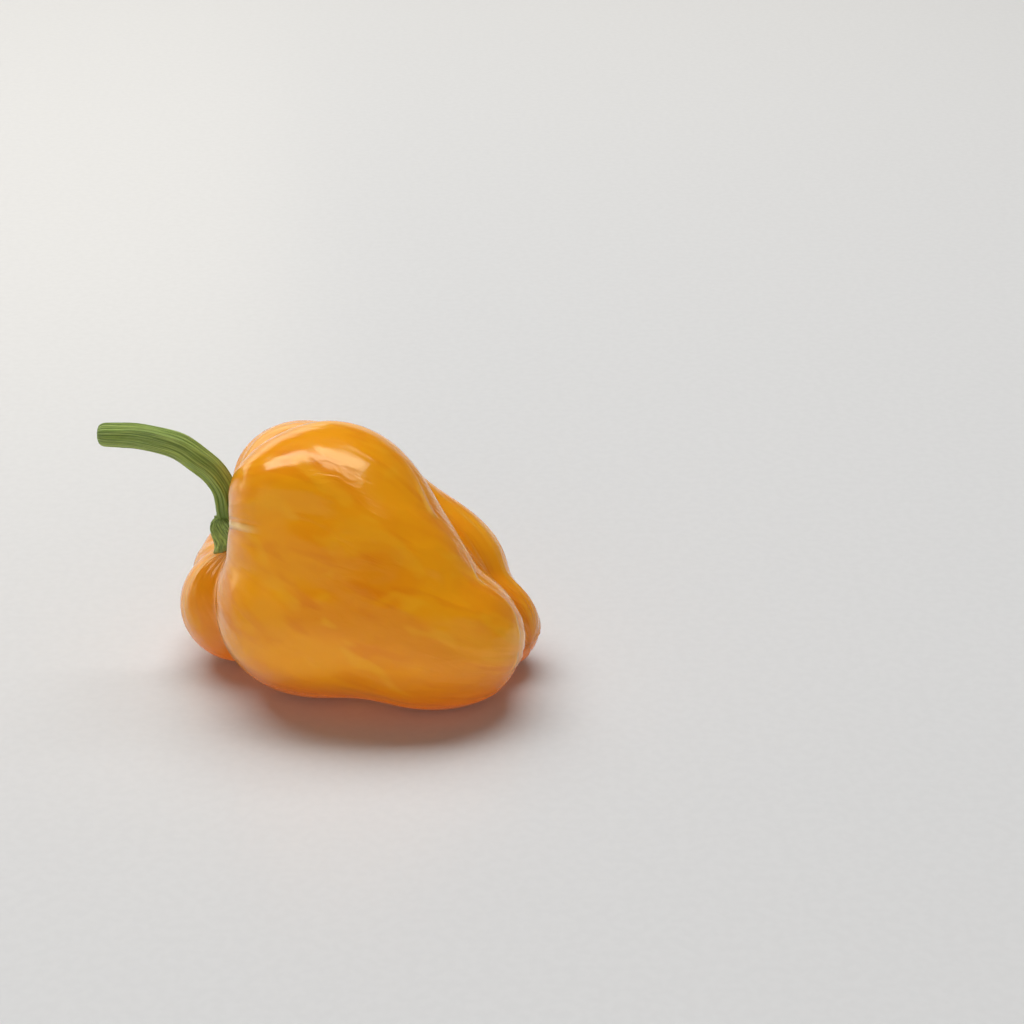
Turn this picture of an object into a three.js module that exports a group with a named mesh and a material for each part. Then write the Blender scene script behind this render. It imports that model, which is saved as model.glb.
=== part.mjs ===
// Orange chilli pepper of the habanero kind, picked with its stem and lying on one side.
// Millimetres, +Z up. The cut end of the stem points to -X, the tip of the fruit to +X.
import * as THREE from "three";
import { mergeVertices } from "three/addons/utils/BufferGeometryUtils.js";

// Point of the table that becomes the origin, below the middle of the whole pepper.
const ORIGIN = new THREE.Vector3(0.233, -0.817, 0.1);

// Swellings of the fruit.
// Each one runs from the shoulder at the stem to the tip, as x, y, z and radius.
const LOBES = [
  // middle of the fruit
  [[-4.9, 2.2, 20, 5.8], [4, 0.5, 15.5, 11], [15, -3.5, 11.5, 8.6]],
  // front, resting on the table
  [[-1.9, -7.2, 12.9, 12.9], [6.5, -8.6, 13.7, 12.3], [14, -11, 10.7, 10.4], [20, -9.9, 8.8, 9]],
  // front, half way up
  [[-1.8, -5.3, 21, 10.9], [5, -6.4, 21.2, 10.6], [12.5, -8.9, 15.6, 9.7]],
  // front, top shoulder
  [
    [-3.8, -4.8, 27.1, 8.5],
    [1, -3.4, 27.7, 9.6],
    [4.4, -3.3, 26.8, 9.5],
    [8.6, -4.8, 21.7, 9.1],
    [13, -8.6, 14.6, 8.4],
  ],
  // back, resting on the table
  [[-12.5, 1.2, 8.5, 8.6], [0, 4.6, 11, 11], [12, 2.6, 9.5, 9.4], [20, 0.4, 7.6, 7.6], [25.2, -1.2, 6, 6]],
  // back, outer side
  [[-11.8, 8.6, 9.3, 8], [-2, 9.8, 13, 10.2], [8, 8.2, 13.2, 10], [18, 4.4, 10.6, 7.6]],
  // back, top shoulder
  [
    [-5, 9.8, 20.6, 8.2],
    [-3.6, 9.5, 23.7, 8.8],
    [2.6, 7, 22.7, 9.2],
    [9.2, 5, 18, 9.1],
    [16.2, 4.6, 13.6, 8.3],
    [20.2, 3.6, 11.6, 6.4],
  ],
];
// Stations taken along each swelling.
const STATIONS = 24;
// Width over which two swellings run into each other, and how far the skin is drawn in for it.
const BLEND = 0.7;
const DRAWN_IN = 1.2;

// Dents and rises of the skin.
// Centre, half length along the fruit, half width across it and height.
const DENTS = [
  { at: [8.5, -16.5, 17.5], along: 5, across: 2.2, height: -0.45 },
  { at: [15.5, -7.5, 19.5], along: 4.5, across: 1.8, height: -0.6 },
  { at: [1, -18, 8], along: 7, across: 2.5, height: 0.3 },
  { at: [10, -20, 10], along: 6, across: 1.6, height: -0.25 },
  { at: [-11.3, -10.2, 26.9], along: 4.5, across: 1, height: -0.7 },
];
const GRAIN = new THREE.Vector3(0.93, -0.16, -0.33).normalize();

// Skin mesh.
// A box grid of this many cells an edge is blown up from the heart onto the skin.
const HEART = new THREE.Vector3(3, -0.5, 14.5);
const BOX_CELLS = 25;
const REACH = 45;
const STEP_SHARE = 0.9;
const CLOSE_ENOUGH = 0.0005;
const WELD = 0.001;

// Calyx, the green cap on the shoulders.
const CALYX_CENTRE = new THREE.Vector3(-11.1, 2.7, 20.7);
const CALYX_FACING = new THREE.Vector3(-0.88, -0.12, 0.44).normalize();
const CALYX_RADIUS = 4.9;
const CALYX_RIM = 0.5;
const CALYX_SWELL = 0.2;
const CALYX_REACH = 14;
const CALYX_TEETH = [
  { count: 5, depth: 0.55, turn: 0.6 },
  { count: 11, depth: 0.22, turn: 2.1 },
];
const CALYX_SPOKES = 44;
const CALYX_RINGS = 8;
const CALYX_LIFT = 0.45;
// Share of the cap that is the flat seat of the stem. From there it falls in a dome to the rim.
const SEAT_EDGE = 0.3;

// Stem, from the calyx to the cut end.
const STEM_LINE = [
  [-13.2, 2.1, 22.2],
  [-13.3, 2.1, 24.2],
  [-13.5, 2.1, 25.7],
  [-14.1, 2.1, 27.2],
  [-15, 2.1, 29],
  [-17, 2, 30.7],
  [-19.2, 1.7, 32.5],
  [-21.7, 1.4, 33.6],
  [-24.7, 1.2, 34.4],
  [-27.1, 1.1, 34.6],
  [-30.2, 1, 34.7],
];
const STEM_RADIUS = 1.72;
const NECK_DEPTH = 0.42;
const NECK_LENGTH = 3.5;
const STEM_RIBS = 6;
const RIB_HEIGHT = 0.13;
const CUT_EDGE = 0.35;
const STEM_STEPS = 34;
const STEM_SIDES = 24;
// Air left between stem and calyx.
const JOINT_GAP = 0.6;

const SKIN = "#d98a12";
const CALYX_GREEN = "#55702a";
const STEM_GREEN = "#718a3c";

// One station list for all swellings.
function stations() {
  const all = [];
  for (const lobe of LOBES) {
    const middle = new THREE.CatmullRomCurve3(
      lobe.map(([x, y, z]) => new THREE.Vector3(x, y, z)), false, "catmullrom");
    const size = new THREE.CatmullRomCurve3(
      lobe.map(([, , , r]) => new THREE.Vector3(r, 0, 0)), false, "catmullrom");
    for (let i = 0; i < STATIONS; i++) {
      const t = i / (STATIONS - 1);
      all.push({ middle: middle.getPoint(t), radius: size.getPoint(t).x });
    }
  }
  return all;
}

const BALLS = stations();

// Height of the dents and rises near a point.
function relief(point) {
  let height = 0;
  for (const dent of DENTS) {
    const away = new THREE.Vector3(...dent.at).sub(point);
    const along = away.dot(GRAIN);
    const acrossSquared = away.lengthSq() - along * along;
    height += dent.height * Math.exp(-((along / dent.along) ** 2) - acrossSquared / dent.across ** 2);
  }
  return height;
}

// Distance of a point from the skin, negative inside the fruit.
function skinDistance(point) {
  const gaps = BALLS.map((ball) => point.distanceTo(ball.middle) - ball.radius);
  const least = Math.min(...gaps);
  let sum = 0;
  for (const gap of gaps) sum += Math.exp((least - gap) / BLEND);
  return least + BLEND * (DRAWN_IN - Math.log(sum)) - relief(point);
}

// Walks from a start point along a direction until the skin is as near as asked.
function walkToSkin(start, direction, lift) {
  const point = start.clone();
  let left = skinDistance(point) - lift;
  while (left > CLOSE_ENOUGH) {
    point.addScaledVector(direction, left * STEP_SHARE);
    left = skinDistance(point) - lift;
  }
  return point;
}

function meshOf(name, geometry, colour, roughness) {
  geometry.translate(-ORIGIN.x, -ORIGIN.y, -ORIGIN.z);
  geometry.computeVertexNormals();
  const mesh = new THREE.Mesh(geometry, new THREE.MeshStandardMaterial({ color: colour, roughness }));
  mesh.name = name;
  return mesh;
}

function geometryOf(points, triangles) {
  const geometry = new THREE.BufferGeometry();
  geometry.setAttribute("position", new THREE.Float32BufferAttribute(points.flatMap((p) => p.toArray()), 3));
  geometry.setIndex(triangles);
  return geometry;
}

// Joins rings of points, the first and last of them closed by one point each.
function closedRings(first, rings, last) {
  const points = [first, ...rings.flat(), last];
  const triangles = [];
  const n = rings[0].length;
  const end = points.length - 1;
  for (let i = 0; i < n; i++) {
    const j = (i + 1) % n;
    triangles.push(0, 1 + j, 1 + i);
    triangles.push(end, end - n + i, end - n + j);
    for (let r = 0; r < rings.length - 1; r++) {
      const a = 1 + r * n;
      const b = a + n;
      triangles.push(a + i, a + j, b + j);
      triangles.push(a + i, b + j, b + i);
    }
  }
  return geometryOf(points, triangles);
}

function fruit() {
  const box = new THREE.BoxGeometry(2, 2, 2, BOX_CELLS, BOX_CELLS, BOX_CELLS);
  box.deleteAttribute("normal");
  box.deleteAttribute("uv");
  const geometry = mergeVertices(box, WELD);
  const position = geometry.getAttribute("position");
  for (let i = 0; i < position.count; i++) {
    const corner = new THREE.Vector3().fromBufferAttribute(position, i);
    const ray = new THREE.Vector3(
      Math.tan(corner.x * Math.PI / 4), Math.tan(corner.y * Math.PI / 4), Math.tan(corner.z * Math.PI / 4));
    ray.normalize();
    const start = HEART.clone().addScaledVector(ray, REACH);
    const point = walkToSkin(start, ray.negate(), 0);
    // the fruit has pressed itself flat where it touches the table
    point.z = Math.max(point.z, ORIGIN.z);
    position.setXYZ(i, point.x, point.y, point.z);
  }
  return meshOf("fruit", geometry, SKIN, 0.35);
}

// Direction of the stem where it leaves the calyx.
const STEM_START = new THREE.Vector3(...STEM_LINE[0]);
const STEM_RISE = new THREE.Vector3(...STEM_LINE[1]).sub(STEM_START).lerp(CALYX_FACING, 0.5).normalize();

function calyx() {
  const side = new THREE.Vector3(0, 0, 1).cross(CALYX_FACING).normalize();
  const up = CALYX_FACING.clone().cross(side);
  const under = [];
  const over = [];
  for (let ring = 1; ring <= CALYX_RINGS; ring++) {
    const share = ring / CALYX_RINGS;
    const low = [];
    const high = [];
    for (let i = 0; i < CALYX_SPOKES; i++) {
      const turn = i / CALYX_SPOKES * 2 * Math.PI;
      let radius = CALYX_RADIUS;
      for (const teeth of CALYX_TEETH) radius += teeth.depth * Math.cos(teeth.count * turn + teeth.turn);
      const foot = CALYX_CENTRE.clone();
      foot.addScaledVector(side, Math.cos(turn) * radius * share);
      foot.addScaledVector(up, Math.sin(turn) * radius * share);
      const points = capPoints(foot, share);
      low.push(points.low);
      high.push(points.high);
    }
    under.push(low);
    over.unshift(high);
  }
  const middle = capPoints(CALYX_CENTRE, 0);
  return meshOf("calyx", closedRings(middle.low, [...under, ...over], middle.high), CALYX_GREEN, 0.7);
}

// Underside and top of the cap over one point of its plane.
function capPoints(foot, share) {
  const start = foot.clone().addScaledVector(CALYX_FACING, CALYX_REACH);
  const low = walkToSkin(start, CALYX_FACING.clone().negate(), CALYX_LIFT);
  const thin = low.clone().addScaledVector(CALYX_FACING, CALYX_RIM + CALYX_SWELL * (1 - share));
  const thinHeight = thin.clone().sub(foot).dot(CALYX_FACING);
  const seatHeight = STEM_START.clone().sub(foot).dot(STEM_RISE) / CALYX_FACING.dot(STEM_RISE);
  const seat = foot.clone().addScaledVector(CALYX_FACING, Math.max(seatHeight, thinHeight));
  const high = seat.lerp(thin, THREE.MathUtils.smoothstep(share, SEAT_EDGE, 1));
  return { low, high };
}

function stem() {
  const line = new THREE.CatmullRomCurve3(STEM_LINE.map((p) => new THREE.Vector3(...p)));
  const length = line.getLength();
  const rings = [];
  const across = new THREE.Vector3(0, 1, 0);
  const middles = [];
  for (let step = 0; step <= STEM_STEPS; step++) {
    const u = step / STEM_STEPS;
    const along = u === 0 ? STEM_RISE.clone() : line.getTangentAt(u);
    const middle = line.getPointAt(u);
    if (step === 0) middle.addScaledVector(STEM_RISE, JOINT_GAP);
    const side = across.clone().addScaledVector(along, -across.dot(along)).normalize();
    const up = along.clone().cross(side);
    const fromCalyx = u * length;
    const neck = NECK_DEPTH * Math.exp(-((fromCalyx / NECK_LENGTH) ** 2));
    const fromCut = length - fromCalyx;
    const rounded = fromCut < CUT_EDGE ? CUT_EDGE - Math.sqrt(CUT_EDGE ** 2 - (CUT_EDGE - fromCut) ** 2) : 0;
    const ring = [];
    for (let i = 0; i < STEM_SIDES; i++) {
      const turn = i / STEM_SIDES * 2 * Math.PI;
      const radius = STEM_RADIUS - neck + RIB_HEIGHT * Math.cos(STEM_RIBS * turn) - rounded;
      const point = middle.clone();
      point.addScaledVector(side, Math.cos(turn) * radius);
      point.addScaledVector(up, Math.sin(turn) * radius);
      ring.push(point);
    }
    rings.push(ring);
    middles.push(middle);
  }
  return meshOf("stem", closedRings(middles[0], rings, middles[STEM_STEPS]), STEM_GREEN, 0.6);
}

const pepper = new THREE.Group();
pepper.name = "chilli_pepper";
pepper.add(fruit(), calyx(), stem());

export default pepper;
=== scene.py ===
import math

import bmesh
import bpy
import numpy as np
from mathutils import Matrix, Vector, noise


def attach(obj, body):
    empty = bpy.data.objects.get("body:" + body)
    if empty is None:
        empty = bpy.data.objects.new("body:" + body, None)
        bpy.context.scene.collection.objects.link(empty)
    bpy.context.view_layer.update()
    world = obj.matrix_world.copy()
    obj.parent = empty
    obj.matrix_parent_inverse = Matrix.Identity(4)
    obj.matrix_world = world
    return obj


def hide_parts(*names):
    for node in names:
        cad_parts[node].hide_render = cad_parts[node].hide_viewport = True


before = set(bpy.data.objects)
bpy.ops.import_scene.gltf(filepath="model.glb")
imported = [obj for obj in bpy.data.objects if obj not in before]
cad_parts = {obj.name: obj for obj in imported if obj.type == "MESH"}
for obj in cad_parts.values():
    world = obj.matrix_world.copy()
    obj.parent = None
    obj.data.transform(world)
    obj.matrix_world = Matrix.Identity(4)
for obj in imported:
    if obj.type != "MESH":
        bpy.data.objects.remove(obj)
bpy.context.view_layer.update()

# Fruit
# A hollow berry with a waxy skin over thin firm flesh, here one closed body. Its swellings run
# from the shoulders round the stem to the tip, and it lies on three small flattened spots.
# Lengths are in millimetres, and in the materials in metres.
MM = 0.001
ORIGIN = np.array([0.233, -0.817, 0.1])
# A lobe is a string of balls. Its stations give a middle and a radius each.
LOBES = [
    # middle of the fruit
    [(-4.9, 2.2, 20, 5.8), (4, 0.5, 15.5, 11), (15, -3.5, 11.5, 8.6)],
    # front, resting on the table
    [(-1.9, -7.2, 12.9, 12.9), (6.5, -8.6, 13.7, 12.3), (14, -11, 10.7, 10.4), (20, -9.9, 8.8, 9)],
    # front, half way up
    [(-1.8, -5.3, 21, 10.9), (5, -6.4, 21.2, 10.6), (12.5, -8.9, 15.6, 9.7)],
    # front, top shoulder
    [
        (-3.8, -4.8, 27.1, 8.5),
        (1, -3.4, 27.7, 9.6),
        (4.4, -3.3, 26.8, 9.5),
        (8.6, -4.8, 21.7, 9.1),
        (13, -8.6, 14.6, 8.4),
    ],
    # back, resting on the table
    [
        (-12.5, 1.2, 8.5, 8.6),
        (0, 4.6, 11, 11),
        (12, 2.6, 9.5, 9.4),
        (20, 0.4, 7.6, 7.6),
        (25.2, -1.2, 6, 6),
    ],
    # back, outer side
    [(-11.8, 8.6, 9.3, 8), (-2, 9.8, 13, 10.2), (8, 8.2, 13.2, 10), (18, 4.4, 10.6, 7.6)],
    # back, top shoulder
    [
        (-5, 9.8, 20.6, 8.2),
        (-3.6, 9.5, 23.7, 8.8),
        (2.6, 7, 22.7, 9.2),
        (9.2, 5, 18, 9.1),
        (16.2, 4.6, 13.6, 8.3),
        (20.2, 3.6, 11.6, 6.4),
    ],
]
FRONT_LOBES = [1, 2, 3]
BACK_LOBES = [4, 5, 6]
BALLS_PER_LOBE = 24
BLEND = 0.7
DRAWN_IN = 1.2


def unit(vector):
    """The vector with a length of 1."""
    return np.asarray(vector, float) / np.linalg.norm(vector)


# Dents and rises: middle, reach along the grain, reach across it, and height.
GRAIN = unit((0.93, -0.16, -0.33))
DENTS = [
    ((8.5, -16.5, 17.5), 5, 2.2, -0.45),
    ((15.5, -7.5, 19.5), 4.5, 1.8, -0.6),
    ((1, -18, 8), 7, 2.5, 0.3),
    ((10, -20, 10), 6, 1.6, -0.25),
    ((4, -12.3, 30.2), 6, 2.6, 0.55),
]


def curve_points(stations, count):
    """Points on a smooth curve through the stations, evenly numbered from the first to the last."""
    p = np.array(stations, float)
    p = np.vstack([2 * p[0] - p[1], p, 2 * p[-1] - p[-2]])
    spans = len(stations) - 1
    at = np.linspace(0, spans, count)
    i = np.minimum(at.astype(int), spans - 1)
    t = (at - i)[:, None]
    a, b, c, d = p[i], p[i + 1], p[i + 2], p[i + 3]
    square = 2 * a - 5 * b + 4 * c - d
    cube = -a + 3 * b - 3 * c + d
    return 0.5 * (2 * b + (c - a) * t + square * t**2 + cube * t**3)


BALLS = np.vstack([curve_points(lobe, BALLS_PER_LOBE) for lobe in LOBES])
POINTS_AT_ONCE = 8000


def relief(points):
    """Height of the dents and rises of the skin."""
    height = np.zeros(len(points))
    for at, along, across, rise in DENTS:
        away = points - at
        lengthwise = away @ GRAIN
        sideways = (away**2).sum(1) - lengthwise**2
        height += rise * np.exp(-((lengthwise / along) ** 2) - sideways / across**2)
    return height


def skin(points):
    """Distance of points from the skin, and how much nearer each lies to the front lobes."""
    distance = np.empty(len(points))
    between = np.empty(len(points))
    for start in range(0, len(points), POINTS_AT_ONCE):
        here = slice(start, start + POINTS_AT_ONCE)
        part = points[here].astype(np.float32)
        away = part[:, None, :] - BALLS[None, :, :3].astype(np.float32)
        gaps = np.sqrt((away**2).sum(2)) - BALLS[None, :, 3].astype(np.float32)
        least = gaps.min(1)
        total = np.exp((least[:, None] - gaps) / BLEND).sum(1)
        distance[here] = least + BLEND * (DRAWN_IN - np.log(total))
        lobes = gaps.reshape(len(part), len(LOBES), BALLS_PER_LOBE).min(2)
        between[here] = lobes[:, BACK_LOBES].min(1) - lobes[:, FRONT_LOBES].min(1)
    return distance - relief(points), between


STRIDE = 0.95


def walk_to_skin(points, direction, steps, lift=0.0):
    """Moves points along a direction until they lie this far over the skin."""
    for _ in range(steps):
        distance, between = skin(points)
        points = points + direction * ((distance - lift) * STRIDE)[:, None]
    return points, between


# The mesh is a box of cells, drawn in from all round to the skin.
HEART = np.array([3, -0.5, 14.5])
REACH = 45.0
BOX_CELLS = 120
STEPS_TO_SKIN = 14
box = bmesh.new()
bmesh.ops.create_cube(box, size=2)
bmesh.ops.subdivide_edges(box, edges=box.edges, cuts=BOX_CELLS - 1, use_grid_fill=True)
corners = np.array([v.co for v in box.verts])
cells = [tuple(v.index for v in f.verts) for f in box.faces]
box.free()
rays = np.tan(corners * math.pi / 4)
rays /= np.linalg.norm(rays, axis=1)[:, None]
skin_points, between = walk_to_skin(HEART + rays * REACH, -rays, STEPS_TO_SKIN)

# Lengthwise and round-about place on the skin, so that streaks and wrinkles run to the tip.
FIBRE_LENGTH = 30
AXIS_REACH = 5
from_heart = skin_points - HEART
lengthwise = from_heart @ GRAIN
outward = from_heart - lengthwise[:, None] * GRAIN
side_way = unit(np.cross((0, 0, 1), GRAIN))
up_way = np.cross(GRAIN, side_way)
turn = np.arctan2(outward @ up_way, outward @ side_way)
fibre = np.column_stack([lengthwise / FIBRE_LENGTH, np.cos(turn), np.sin(turn)])


def rising(values, start, length):
    """0 up to the start, from there rising to 1 over the length."""
    return np.clip((values - start) / length, 0, 1)


def skin_noise(scale, stretch):
    """Smooth noise of about -1 to 1 along the fibres of the skin."""
    scaled = fibre * (scale * stretch, scale, scale)
    return np.array([noise.noise(Vector(p)) for p in scaled])


CREASE_WIDTH = 2.6
CREASE_START = -4
CREASE_FADE = 10
TIP_START = 9
TIP_FADE = 12
SWELL = 0.28
RIPPLE = 0.1
CREASE_WRINKLE = 1.0
TIP_WRINKLE = 0.15
off_axis = rising(np.linalg.norm(outward, axis=1), 0, AXIS_REACH)
furrows = np.exp(-((between / CREASE_WIDTH) ** 2))
creases = furrows * rising(lengthwise, CREASE_START, CREASE_FADE) * off_axis
tip_share = rising(lengthwise, TIP_START, TIP_FADE) * off_axis
swell = SWELL * skin_noise(3.0, 0.9)
ripple = RIPPLE * skin_noise(6.0, 0.8)
ridges = np.abs(skin_noise(5.0, 0.6))
wrinkle = (CREASE_WRINKLE * creases + TIP_WRINKLE * tip_share) * ridges


class Wire:
    """One socket of a material's node tree, used like a number in a formula."""

    def __init__(self, tree, socket=None):
        self.tree = tree
        self.socket = socket

    def put(self, target, value):
        """Links a wire to a socket, or sets the socket to a constant."""
        if isinstance(value, Wire):
            self.tree.links.new(value.socket, target)
        elif hasattr(value, "__len__") and len(value) == 3 and len(target.default_value) == 4:
            target.default_value = (*value, 1.0)
        else:
            target.default_value = value

    def node(self, kind, inputs=None, out=0, **settings):
        """A new node of any kind, with its settings and its inputs by name or number."""
        made = self.tree.nodes.new(kind)
        for name, value in settings.items():
            setattr(made, name, value)
        for key, value in (inputs or {}).items():
            self.put(made.inputs[key], value)
        return Wire(self.tree, made.outputs[out])

    def math(self, operation, first, second):
        """A Math node for two numbers."""
        return self.node("ShaderNodeMath", {0: first, 1: second}, operation=operation)

    def __add__(self, other):
        return self.math("ADD", self, other)

    def __radd__(self, other):
        return self.math("ADD", other, self)

    def __sub__(self, other):
        return self.math("SUBTRACT", self, other)

    def __rsub__(self, other):
        return self.math("SUBTRACT", other, self)

    def __mul__(self, other):
        return self.math("MULTIPLY", self, other)

    def __rmul__(self, other):
        return self.math("MULTIPLY", other, self)

    def __truediv__(self, other):
        return self.math("DIVIDE", self, other)

    def __rtruediv__(self, other):
        return self.math("DIVIDE", other, self)

    def clip(self):
        """The same number kept between 0 and 1."""
        return self.node("ShaderNodeClamp", {"Value": self})

    def ramp(self, low, high):
        """0 below low, 1 above high, smooth between them."""
        inputs = {"Value": self, "From Min": low, "From Max": high}
        return self.node("ShaderNodeMapRange", inputs, interpolation_type="SMOOTHSTEP")

    def mix(self, colour, other):
        """One colour at 0 and the other at 1."""
        inputs = {0: self, 6: colour, 7: other}
        return self.node("ShaderNodeMix", inputs, out=2, data_type="RGBA")

    def stored(self, name, out="Fac"):
        """What store() kept for a piece: a number, or a vector if the out is Vector."""
        return self.node("ShaderNodeAttribute", out=out, attribute_name=name)

    def axis(self, number):
        """The part of a vector along x, y or z, for 0, 1 or 2."""
        return self.node("ShaderNodeSeparateXYZ", {0: self}, out=number)

    def scaled(self, by):
        """A vector multiplied by another one."""
        return self.node("ShaderNodeVectorMath", {0: self, 1: by}, operation="MULTIPLY")

    def noise(self, scale, detail=1.0, roughness=0.5, distortion=0.0):
        """Cloudy noise around 0.5 at this vector."""
        inputs = {
            "Vector": self,
            "Scale": scale,
            "Detail": detail,
            "Roughness": roughness,
            "Distortion": distortion,
        }
        return self.node("ShaderNodeTexNoise", inputs)

    def bump(self, distance):
        """A surface normal for this height, in shares of the distance."""
        inputs = {"Height": self, "Distance": distance, "Strength": 1.0}
        return self.node("ShaderNodeBump", inputs)


def colour(code):
    """Linear red, green and blue of a web colour."""
    channels = [int(code[i : i + 2], 16) / 255 for i in (1, 3, 5)]
    return tuple(c / 12.92 if c <= 0.04045 else ((c + 0.055) / 1.055) ** 2.4 for c in channels)


def new_material(name):
    """A material, its surface shader and a wire to build from."""
    made = bpy.data.materials.new(name)
    made.use_nodes = True
    return made, made.node_tree.nodes["Principled BSDF"], Wire(made.node_tree)


def set_constants(shader, constants):
    """Sets the sockets of a shader that are the same all over the piece."""
    for name, value in constants.items():
        shader.inputs[name].default_value = value


def new_piece(name, points, faces, material):
    """A smooth mesh object from points in millimetres."""
    mesh = bpy.data.meshes.new(name)
    mesh.from_pydata((np.asarray(points) * MM).tolist(), [], faces)
    mesh.update()
    mesh.shade_smooth()
    made = bpy.data.objects.new(name, mesh)
    bpy.context.scene.collection.objects.link(made)
    mesh.materials.append(material)
    return made


def store(piece, name, values):
    """Keeps one number or one vector a vertex for the piece's material."""
    values = np.asarray(values, np.float32)
    kind, key = ("FLOAT", "value") if values.ndim == 1 else ("FLOAT_VECTOR", "vector")
    layer = piece.data.attributes.new(name, kind, "POINT")
    layer.data.foreach_set(key, values.ravel())


# The fine relief fades out towards the table, so that the flattened spots stay flat.
FLAT_FADE = 1.5
SHOULDER_END = 2
SHOULDER_FADE = 6
skin_material, shader, wire = new_material("waxy orange skin")
fruit = new_piece("pepper_skin", skin_points - ORIGIN, cells, skin_material)
normals = np.array([v.vector for v in fruit.data.vertex_normals])
above_flats = rising(skin_points[:, 2], ORIGIN[2], FLAT_FADE)
raised = skin_points - ORIGIN + normals * ((swell + ripple - wrinkle) * above_flats)[:, None]
raised[:, 2] = np.maximum(raised[:, 2], 0)
fruit.data.vertices.foreach_set("co", (raised * MM).astype(np.float32).ravel())
fruit.data.update()
store(fruit, "fibre", fibre)
store(fruit, "furrow", furrows)
store(fruit, "between", between)
store(fruit, "behind_shoulder", rising(lengthwise, SHOULDER_END, SHOULDER_FADE) * off_axis)

# Amber skin with darker blotches and streaks, honey spots, and a painted shade of deep orange in
# the creases.
AMBER = colour("#F5A00A")
HONEY = colour("#F8AE1E")
DEEP_ORANGE = colour("#E37A04")
BLOTCH_SHARE = 0.4
STREAK_SHARE = 0.3
HONEY_SHARE = 0.5
CREASE_SHADE_SHARE = 0.5
place = wire.stored("fibre", "Vector")
longer = place.scaled((0.8, 1, 1))
streaked = place.scaled((0.4, 1, 1))
blotches = longer.noise(2.6, detail=2, roughness=0.45, distortion=0.4).ramp(0.4, 0.66)
streaks = streaked.noise(7.0, detail=2, distortion=0.6).ramp(0.52, 0.7)
honey_spots = longer.noise(4.4, distortion=0.8).ramp(0.52, 0.68)
ground = (blotches * BLOTCH_SHARE + streaks * STREAK_SHARE).mix(AMBER, DEEP_ORANGE)
dappled = (honey_spots * HONEY_SHARE).mix(ground, HONEY)
# Painted shade: deep orange in the creases between the lobes.
crease_shaded = (wire.stored("furrow") * CREASE_SHADE_SHARE).mix(dappled, DEEP_ORANGE)

# A short sharp fold runs from the calyx along the shoulder, with a painted cream highlight on its
# lip.
FOLD_ACROSS = (0, 0.4226, 0.906)
FOLD_SLOPE = 0.18
FOLD_LEVEL = 0.01825
FOLD_WIDTH = 0.0006
FOLD_LIP_PLACE = 0.9
FOLD_FADE_ALONG = (-0.0105, -0.0065)
FOLD_FADE_BACK = (-0.003, 0.0)
body = wire.node("ShaderNodeTexCoord", out="Object")
along_fold = body.axis(0)
inputs = {0: body, 1: FOLD_ACROSS}
across_fold = wire.node("ShaderNodeVectorMath", inputs, out="Value", operation="DOT_PRODUCT")
over_fold = (across_fold - FOLD_LEVEL + along_fold * FOLD_SLOPE) / FOLD_WIDTH
over_fold_lip = over_fold + FOLD_LIP_PLACE
fold_groove = (1 - over_fold * over_fold).clip()
fold_lip = (1 - over_fold_lip * over_fold_lip).clip()
in_front = 1 - body.axis(1).ramp(*FOLD_FADE_BACK)
fold_extent = (1 - along_fold.ramp(*FOLD_FADE_ALONG)) * in_front

# A thin lip runs beside the crease, and comes and goes; its cream colour is a painted highlight.
LIP_PLACE = 9.0
LIP_WIDTH = 0.45
LIP_WANDER = 2.4
wander = place.noise(2.2) * LIP_WANDER
over_lip = (wire.stored("between") + wander - LIP_PLACE) / LIP_WIDTH
lip_extent = wire.stored("behind_shoulder") * place.noise(3.1).ramp(0.4, 0.55)
lip = (1 - over_lip * over_lip).clip() * lip_extent

# The underside gets a painted shade of darker red orange, and both lips get a painted cream
# highlight.
SHADE_RED_ORANGE = colour("#B34A00")
LIP_HIGHLIGHT_CREAM = colour("#FFC45E")
FOLD_HIGHLIGHT_CREAM = colour("#FFD48A")
SHADE_HEIGHT = 0.0105
SHADE_SHARE = 0.95
LIP_SHARE = 0.5
FOLD_HIGHLIGHT_SHARE = 0.8
over_table = body.axis(2)
underside = 1 - over_table.ramp(0.0, SHADE_HEIGHT)
# Painted shade: darker red orange towards the table.
shaded = (underside * SHADE_SHARE).mix(crease_shaded, SHADE_RED_ORANGE)
# Painted highlight: cream along the lip beside the crease.
lip_highlighted = (lip * LIP_SHARE).mix(shaded, LIP_HIGHLIGHT_CREAM)
# Painted highlight: cream along the lip of the fold.
fold_highlighted = (fold_lip * fold_extent * FOLD_HIGHLIGHT_SHARE).mix(lip_highlighted, FOLD_HIGHLIGHT_CREAM)
wire.put(shader.inputs["Base Color"], fold_highlighted)

# The underside has a painted orange glow, which stands in for light from above shining through the
# thin flesh and lights the table, though not where it meets the table.
GLOW = (1.0, 0.22, 0.004)
NO_GLOW = (0.0, 0.0, 0.0)
CONTACT_FADE = (-0.001, 0.003)
# Painted glow: orange emission on the underside.
painted_glow = underside * underside * over_table.ramp(*CONTACT_FADE)
wire.put(shader.inputs["Emission Color"], painted_glow.mix(NO_GLOW, GLOW))

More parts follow.
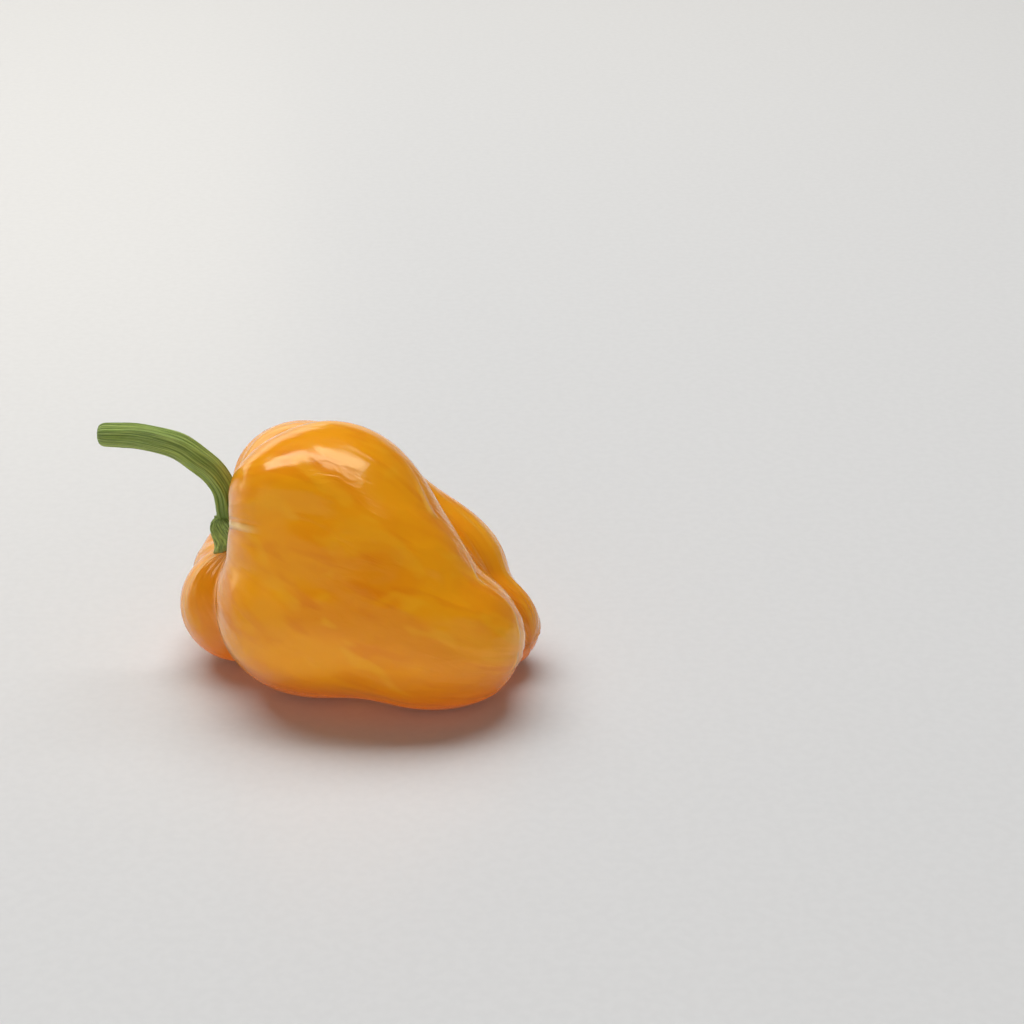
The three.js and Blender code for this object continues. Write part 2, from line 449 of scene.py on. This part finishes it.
# Waves, patches of crumples and pores break up the mirrored light.
SMOOTHEST = 0.12
DULLER = 0.1
RELIEF_HEIGHT = 0.0005
WAVE_HEIGHT = 0.6
CRUMPLE_HEIGHT = 0.2
LIP_HEIGHT = 0.4
PORE_HEIGHT = 0.008
FOLD_LIP_HEIGHT = 0.6
FOLD_DEPTH = 0.4
wire.put(shader.inputs["Roughness"], longer.noise(4.0) * DULLER + SMOOTHEST)
waves = place.scaled((0.75, 1, 1)).noise(6.5, roughness=0.4, distortion=0.5)
crumples = place.scaled((0.6, 1, 1)).noise(13.0, detail=2, distortion=0.8)
crumple_patches = place.noise(2.4).ramp(0.45, 0.6)
pores = body.noise(2600.0)
fold_relief = (fold_lip * FOLD_LIP_HEIGHT - fold_groove * FOLD_DEPTH) * fold_extent
height = waves * WAVE_HEIGHT + crumples * crumple_patches * CRUMPLE_HEIGHT
height = height + lip * LIP_HEIGHT + pores * PORE_HEIGHT + fold_relief
wire.put(shader.inputs["Normal"], height.bump(RELIEF_HEIGHT))
# Emission Strength is the strength of the painted glow on the underside.
skin_constants = {
    "Emission Strength": 0.3,
    "Subsurface Weight": 0.15,
    "Subsurface Radius": (1.0, 0.5, 0.1),
    "Subsurface Scale": 0.002,
    "Specular Tint": (1, 0.84, 0.6, 1),
    "Coat Weight": 0.25,
    "Coat Roughness": 0.05,
}
set_constants(shader, skin_constants)
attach(fruit, "root")
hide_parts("fruit")

# Calyx
# A thin leathery cap with a ragged, toothed rim. It grows on the shoulders of the fruit, lies
# in the pit between them and rises in its middle to carry the stem.
CALYX_CENTRE = np.array([-11.1, 2.7, 20.7])
CALYX_FACING = unit((-0.88, -0.12, 0.44))
CALYX_RADIUS = 4.9
CALYX_THICK = 0.35
CALYX_SPOKES = 200
CALYX_RINGS = 26
# Teeth of the rim: height, number and turn of each wave.
TEETH = [(0.55, 5, 0.6), (0.22, 11, 2.1), (0.12, 23, 1.0)]


def waves_round(angles, waves):
    """Sum of waves round a ring."""
    return sum(rise * np.cos(number * angles + shift) for rise, number, shift in waves)


def ring_points(middle, radius, angles, side, up):
    """Points at a radius round a middle, for rows of rings."""
    across = (radius * np.cos(angles))[..., None] * side
    return middle + across + (radius * np.sin(angles))[..., None] * up


calyx_side = unit(np.cross((0, 0, 1), CALYX_FACING))
calyx_up = np.cross(CALYX_FACING, calyx_side)
turns = np.arange(CALYX_SPOKES) / CALYX_SPOKES * 2 * math.pi
shares = (np.arange(CALYX_RINGS) + 1) / CALYX_RINGS
radii = shares[:, None] * (CALYX_RADIUS + waves_round(turns, TEETH))
feet = ring_points(CALYX_CENTRE, radii, turns, calyx_side, calyx_up)

# The underside lands on the skin and bridges narrow creases.
DROP_HEIGHT = 14
CAP_GAP = 0.05
STEPS_TO_SEAT = 30
EASING_ROUNDS = 10
dropped = (feet + CALYX_FACING * DROP_HEIGHT).reshape(-1, 3)
landed, _ = walk_to_skin(dropped, -CALYX_FACING, STEPS_TO_SEAT, CAP_GAP)
low = ((landed - feet.reshape(-1, 3)) @ CALYX_FACING).reshape(radii.shape)
eased = low.copy()
for _ in range(EASING_ROUNDS):
    beside = (np.roll(eased, 1, 1) + np.roll(eased, -1, 1)) / 2
    inner = np.vstack([eased[:1], eased[:-1]])
    outer = np.vstack([eased[1:], eased[-1:]])
    eased = np.maximum(low, (2 * eased + 2 * beside + inner + outer) / 6)

# The top rises to the stem, and has fine ridges that run out to a thin rim.
STEM_START = np.array([-13.2, 2.1, 22.2])
STEM_RISE = unit(0.5 * np.array([0, 0, 1]) + 0.5 * CALYX_FACING)
SEAT_EDGE = 0.3
RIM_FADE = 0.08
RIM_THICK = 0.25
RIDGE_NUMBER = 24
RIDGE_HEIGHT = 0.15
RIDGE_WANDER = 1.5
RIDGE_GROWTH = 3
UNEVEN_HEIGHT = 0.12


def noise_round(angles, rows, round_scale, row_scale):
    """Smooth noise without a seam, for rows of rings."""
    ring = [(math.cos(a) * round_scale, math.sin(a) * round_scale) for a in angles]
    return np.array([[noise.noise(Vector((x, y, r * row_scale))) for x, y in ring] for r in rows])


uneven = noise_round(turns, shares, 9, 1.5)
out_share = shares[:, None]
seat = ((STEM_START - feet) @ STEM_RISE) / (CALYX_FACING @ STEM_RISE)
fall = rising(out_share, SEAT_EDGE, 1 - SEAT_EDGE)
fall = fall * fall * (3 - 2 * fall)
edge = rising(1 - out_share, 0, RIM_FADE) ** 0.5
thin = eased + CALYX_THICK * (RIM_THICK + (1 - RIM_THICK) * edge)
ridge_waves = np.cos(RIDGE_NUMBER * turns + RIDGE_WANDER * uneven)
cap_ridges = RIDGE_HEIGHT * ridge_waves * np.clip(out_share * RIDGE_GROWTH, 0, 1) * edge
risen = thin + (np.maximum(seat, thin) - thin) * (1 - fall)
high = risen + cap_ridges + UNEVEN_HEIGHT * uneven * out_share
top = feet + high[..., None] * CALYX_FACING
under = feet + (low - CAP_GAP)[..., None] * CALYX_FACING


def closed_faces(rings, sides):
    """Faces between rings, and fans to the first and last ring's middles, which come last."""
    faces = []
    for ring in range(rings - 1):
        for side in range(sides):
            nearer = ring * sides
            beyond = (side + 1) % sides
            farther = nearer + sides
            faces.append((nearer + side, nearer + beyond, farther + beyond, farther + side))
    first_middle = rings * sides
    last_ring = first_middle - sides
    for side in range(sides):
        beyond = (side + 1) % sides
        faces.append((first_middle, beyond, side))
        faces.append((first_middle + 1, last_ring + side, last_ring + beyond))
    return faces


def ring_place(angles, scale, level):
    """Place round and along a ring, for the strands of its material."""
    flat = [np.cos(angles) * scale, np.sin(angles) * scale]
    return np.column_stack([*flat, np.full(len(angles), level)])


cap_rings = np.concatenate([under, top[::-1]])
middle_low = CALYX_CENTRE + CALYX_FACING * low[0].mean()
middle_high = CALYX_CENTRE + CALYX_FACING * high[0].mean()
cap_points = np.vstack([cap_rings.reshape(-1, 3), middle_low, middle_high])
cap_faces = closed_faces(len(cap_rings), CALYX_SPOKES)
cap_shares = [*shares, *shares[::-1]]
cap_place = np.vstack([*[ring_place(turns, 1, s) for s in cap_shares], np.zeros((2, 3))])
calyx_material, shader, wire = new_material("calyx green")
calyx = new_piece("calyx_cap", cap_points - ORIGIN, cap_faces, calyx_material)
store(calyx, "around", cap_place)

# Leaf green with darker strands, and a rim that has begun to dry.
LEAF_GREEN = colour("#C6DB74")
DARK_GREEN = colour("#728C40")
DRY_RIM = colour("#8C8A4A")
DRY_SHARE = 0.55
CALYX_RELIEF = 0.0006
FUZZ_HEIGHT = 0.4
place = wire.stored("around", "Vector")
strands = place.scaled((1, 1, 0.25)).noise(16.0, detail=3, roughness=0.6)
fuzz = place.noise(30.0, detail=2, roughness=0.6)
green = strands.ramp(0.35, 0.68).mix(DARK_GREEN, LEAF_GREEN)
rim = place.axis(2).ramp(0.86, 1.0)
wire.put(shader.inputs["Base Color"], (rim * DRY_SHARE).mix(green, DRY_RIM))
wire.put(shader.inputs["Roughness"], fuzz * 0.25 + 0.45)
wire.put(shader.inputs["Normal"], (strands + fuzz * FUZZ_HEIGHT).bump(CALYX_RELIEF))
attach(calyx, "root")
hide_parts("calyx")

# Stem
# The ribbed stalk that held the fruit on the plant. It grows out of the middle of the calyx,
# bends away from the fruit and ends in a clean cut.
STEM_LINE = [
    (-12.4, 2.2, 21.2),
    (-13, 2.1, 22.6),
    (-13.1, 2.1, 24.2),
    (-13.3, 2.1, 25.7),
    (-13.9, 2.1, 27.2),
    (-15.1, 2.1, 29),
    (-17, 2, 30.7),
    (-19.2, 1.7, 32.5),
    (-21.7, 1.4, 33.6),
    (-24.7, 1.2, 34.4),
    (-27.1, 1.1, 34.6),
    (-30.2, 1, 34.7),
]
STEM_RADIUS = 1.75
STEM_STEPS = 170
STEM_SIDES = 110
NECK_DEPTH = 0.3
NECK_LENGTH = 6.0
CUT_TAPER = 0.25
TAPER_LENGTH = 5.0
CUT_ROUND = 1.2
CUT_EDGE = 0.8
# Ribs: height, number and turn of each wave.
RIBS = [(0.1, 6, 0), (0.045, 13, 1.2), (0.03, 19, 0.4)]
TWIST = 0.015
line = curve_points(STEM_LINE, STEM_STEPS)
steps = np.linalg.norm(np.diff(line, axis=0), axis=1)
reached = np.concatenate([[0], np.cumsum(steps)])
from_cut = reached[-1] - reached
along = np.gradient(line, axis=0)
along /= np.linalg.norm(along, axis=1)[:, None]
stem_side = np.array([0, 1.0, 0]) - along[:, 1:2] * along
stem_side /= np.linalg.norm(stem_side, axis=1)[:, None]
stem_up = np.cross(along, stem_side)
angles = np.arange(STEM_SIDES) / STEM_SIDES * 2 * math.pi
neck = NECK_DEPTH * np.exp(-((reached / NECK_LENGTH) ** 2))
taper = CUT_TAPER * np.exp(-((from_cut / TAPER_LENGTH) ** 2))
past_edge = np.maximum(CUT_ROUND - from_cut, 0)
rounded = CUT_ROUND - np.sqrt(np.maximum(CUT_ROUND**2 - past_edge**2, 0))
ribs = waves_round(angles[None, :] + TWIST * reached[:, None], RIBS)
uneven = noise_round(angles, reached, 1.5, 0.22)
radius = (STEM_RADIUS - neck - taper - rounded * CUT_EDGE)[:, None] + ribs
radius = radius + UNEVEN_HEIGHT * uneven
sides = stem_side[:, None, :]
tube = ring_points(line[:, None, :], radius, angles, sides, stem_up[:, None, :])

# The cut face is slightly hollow, and made of rings that shrink to its middle.
CUT_SHARES = [0.92, 0.75, 0.5, 0.25]
CUT_HOLLOW = 0.12
MIDDLE_HOLLOW = 0.14
STRAND_LENGTH = 20
cut_middle = line[-1]
cut_face = tube[-1] - cut_middle
cut_rings = [cut_middle + cut_face * s - along[-1] * CUT_HOLLOW * (1 - s) for s in CUT_SHARES]
stem_rings = [*tube, *cut_rings]
stem_points = np.vstack([*stem_rings, line[0], cut_middle - along[-1] * MIDDLE_HOLLOW])
stem_faces = closed_faces(len(stem_rings), STEM_SIDES)
cut_level = reached[-1] / STRAND_LENGTH
tube_place = [ring_place(angles, 1, r / STRAND_LENGTH) for r in reached]
cut_place = [ring_place(angles, s, cut_level) for s in CUT_SHARES]
stem_place = np.vstack([*tube_place, *cut_place, (0, 0, 0), (0, 0, cut_level)])
cut_mask = np.zeros(len(stem_points))
cut_mask[STEM_STEPS * STEM_SIDES :] = 1
hidden_middle = -2
cut_mask[hidden_middle] = 0
stem_material, shader, wire = new_material("stem green")
stem = new_piece("stem_stalk", stem_points - ORIGIN, stem_faces, stem_material)
store(stem, "around", stem_place)
store(stem, "cut", cut_mask)

# Green with pale ribs, dark grooves, a darker base and a tan cut.
STALK_GREEN = colour("#B9CF68")
RIB_GREEN = colour("#6E8A34")
PALE_RIB = colour("#C6D28E")
GROOVE_GREEN = colour("#46601E")
CUT_TAN = colour("#8E8F55")
PALE_SHARE = 0.5
GROOVE_SHARE = 0.85
BASE_LENGTH = 0.45
BASE_SHARE = 0.35
CUT_SHARE = 0.8
STEM_RELIEF = 0.0004
STRAND_HEIGHT = 0.8
HAIR_HEIGHT = 0.5
place = wire.stored("around", "Vector")
strands = place.scaled((1, 1, 0.25)).noise(9.0, detail=3, roughness=0.65)
hairs = place.scaled((1, 1, 0.12)).noise(30.0, detail=2, roughness=0.6)
green = strands.ramp(0.36, 0.66).mix(RIB_GREEN, STALK_GREEN)
pale = (hairs.ramp(0.54, 0.7) * PALE_SHARE).mix(green, PALE_RIB)
grooved = ((1 - hairs.ramp(0.32, 0.48)) * GROOVE_SHARE).mix(pale, GROOVE_GREEN)
near_base = 1 - place.axis(2).ramp(0.0, BASE_LENGTH)
based = (near_base * BASE_SHARE).mix(grooved, RIB_GREEN)
wire.put(shader.inputs["Base Color"], (wire.stored("cut") * CUT_SHARE).mix(based, CUT_TAN))
wire.put(shader.inputs["Roughness"], strands * 0.2 + 0.38)
stem_height = strands * STRAND_HEIGHT + hairs * HAIR_HEIGHT
wire.put(shader.inputs["Normal"], stem_height.bump(STEM_RELIEF))
stem_constants = {
    "Subsurface Weight": 0.1,
    "Subsurface Radius": (0.4, 0.6, 0.1),
    "Subsurface Scale": 0.001,
}
set_constants(shader, stem_constants)
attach(stem, "root")
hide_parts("stem")

# Table
# A wide pale table top with a matt painted surface and a hardly visible grain. It runs on out
# of the picture on every side.
TABLE_HALF = 3000
PAPER = colour("#D9D9D9")
PAPER_DARK = colour("#D7D7D7")
directions = [(-1, -1), (1, -1), (1, 1), (-1, 1)]
table_corners = [(x * TABLE_HALF, y * TABLE_HALF, 0) for x, y in directions]
table_material, shader, wire = new_material("pale table")
table = new_piece("table_top", table_corners, [(0, 1, 2, 3)], table_material)
grain = wire.node("ShaderNodeTexCoord", out="Object").noise(700.0)
wire.put(shader.inputs["Base Color"], grain.ramp(0.3, 0.7).mix(PAPER, PAPER_DARK))
set_constants(shader, {"Roughness": 0.3, "Specular IOR Level": 0.2})

# Light and camera
# A large softbox above and behind the pepper, a weak low one in front of it, and a long one that
# the skin mirrors as a band across the shoulder. A low one behind brightens the left-hand rims.
AIM = Vector((0, 0, 18)) * MM
WARM_WHITE = (1, 0.88, 0.66)
GREENISH_WHITE = (0.9, 0.98, 0.88)


def softbox(name, place, size, watts, tint=(1, 1, 1), turned=0, seen_by="both"):
    """A rectangular area light that faces the pepper, seen by matt or glossy surfaces or both."""
    lamp = bpy.data.lights.new(name, "AREA")
    lamp.shape = "RECTANGLE"
    lamp.size = size[0] * MM
    lamp.size_y = size[1] * MM
    lamp.energy = watts
    lamp.color = tint
    holder = bpy.data.objects.new(name, lamp)
    holder.location = Vector(place) * MM
    holder.visible_diffuse = seen_by != "glossy"
    holder.visible_glossy = seen_by != "matt"
    away = (holder.location - AIM).normalized()
    long_side = Vector((math.cos(math.radians(turned)), math.sin(math.radians(turned)), 0))
    long_side = (long_side - away * long_side.dot(away)).normalized()
    facing = Matrix((long_side, away.cross(long_side), away)).transposed()
    holder.rotation_euler = facing.to_euler()
    bpy.context.scene.collection.objects.link(holder)


softbox("overhead_softbox", (-180, 440, 1050), (1300, 650), 16.0, seen_by="matt")
softbox("fill_softbox", (50, -900, 80), (1200, 120), 2.6, seen_by="matt")
softbox("strip_softbox", (-110, 90, 1150), (1980, 470), 17.8, GREENISH_WHITE, -12, "glossy")
softbox("back_softbox", (-700, 800, 300), (1500, 250), 1.8, WARM_WHITE, seen_by="glossy")
bpy.context.scene.view_settings.view_transform = "Standard"

# The room is dark, with a pale wall behind and left, and a soft glow low in front.
DARK_ROOM = (0.09, 0.09, 0.09)
PALE_WALL = (0.85, 0.76, 0.56)
FRONT_GLOW = (0.5, 0.47, 0.42)
RIGHT_SHARE = 0.85
world = bpy.data.worlds.new("studio")
world.use_nodes = True
room = Wire(world.node_tree)
towards = room.node("ShaderNodeTexCoord", out="Generated")
aside = towards.axis(0)
behind = towards.axis(1)
above = towards.axis(2)
left_part = 1 - aside.ramp(0.0, 0.5) * RIGHT_SHARE
wall = behind.ramp(-0.4, 0.3) * (1 - above.ramp(0.12, 0.38)) * left_part
front = (1 - behind.ramp(-0.4, -0.1)) * (1 - above.ramp(0.42, 0.52))
background = world.node_tree.nodes["Background"]
room.put(background.inputs["Color"], front.mix(wall.mix(DARK_ROOM, PALE_WALL), FRONT_GLOW))
background.inputs["Strength"].default_value = 1.0
bpy.context.scene.world = world

EYE = Vector((26.5, -303.52, 165.26)) * MM
LOOK_DOWN = 25
camera = bpy.data.objects.new("camera", bpy.data.cameras.new("camera"))
camera.data.lens = 85
camera.data.sensor_width = 36
camera.data.clip_start = 0.01
camera.data.clip_end = 20
camera.location = EYE
camera.rotation_euler = (math.radians(90 - LOOK_DOWN), 0, 0)
bpy.context.scene.collection.objects.link(camera)
bpy.context.scene.camera = camera
